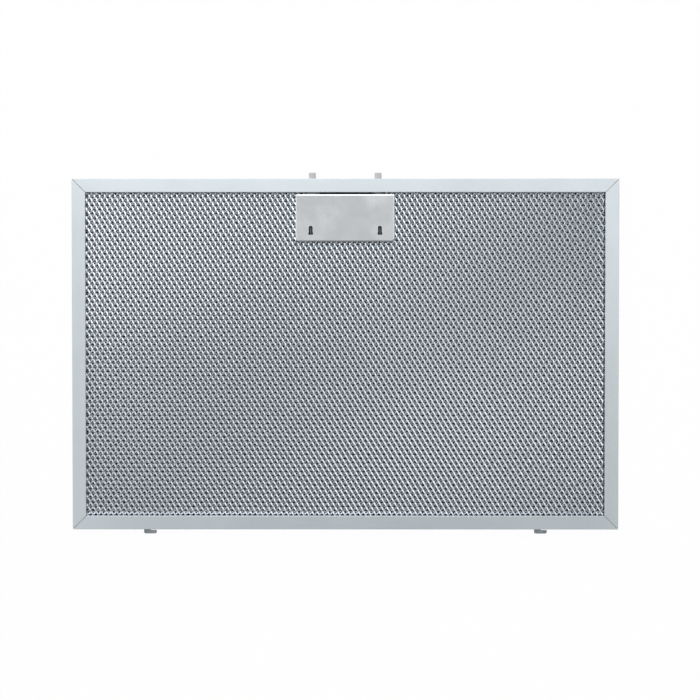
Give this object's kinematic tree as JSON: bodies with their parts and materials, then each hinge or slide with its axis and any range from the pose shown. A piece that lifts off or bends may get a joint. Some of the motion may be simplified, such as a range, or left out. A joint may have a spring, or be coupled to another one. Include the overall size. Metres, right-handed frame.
{
  "type": "cooker hood filter",
  "caption": "Flat metal grease filter with a mitred aluminium frame, expanded-metal sheets, a sprung peg latch and hook lugs.",
  "frame": {"origin": "middle of the frame on its back face", "axes": "+X along the long side, +Y towards the latch and its pegs, +Z out of the front face"},
  "size_m": [0.5, 0.3308, 0.01],
  "materials": {
    "satin_aluminium": "satin anodised",
    "coarse_mesh": "bright expanded aluminium",
    "fine_mesh": "mill finish expanded aluminium",
    "key_zinc": "die-cast zinc",
    "polished_steel": "polished stainless steel",
    "grey_plastic": "moulded grey plastic",
    "guide_steel": "plain steel sheet",
    "spring_steel": "drawn spring wire",
    "lug_steel": "plain steel sheet"
  },
  "bodies": {
    "filter": {"rail_top": "satin_aluminium", "rail_bottom": "satin_aluminium", "rail_left": "satin_aluminium", "rail_right": "satin_aluminium", "corner_key_1": "key_zinc", "corner_key_2": "key_zinc", "corner_key_3": "key_zinc", "corner_key_4": "key_zinc", "front_mesh": "coarse_mesh", "inner_mesh_1": "fine_mesh", "inner_mesh_2": "fine_mesh", "inner_mesh_3": "fine_mesh", "rear_mesh": "coarse_mesh", "latch_base": "guide_steel", "spring_left": "spring_steel", "spring_right": "spring_steel", "lug_left": "lug_steel", "lug_right": "lug_steel"},
    "latch": {"latch_plate": "polished_steel", "latch_slider": "grey_plastic"}
  },
  "joints": [
    {"name": "latch_slide", "type": "slide", "parent": "filter", "child": "latch", "axis": [0, -1, 0], "range_m": [0, 0.006], "stiffness_N_per_m": 500, "springref_m": -0.004, "deforming": ["spring_left", "spring_right"]}
  ]
}
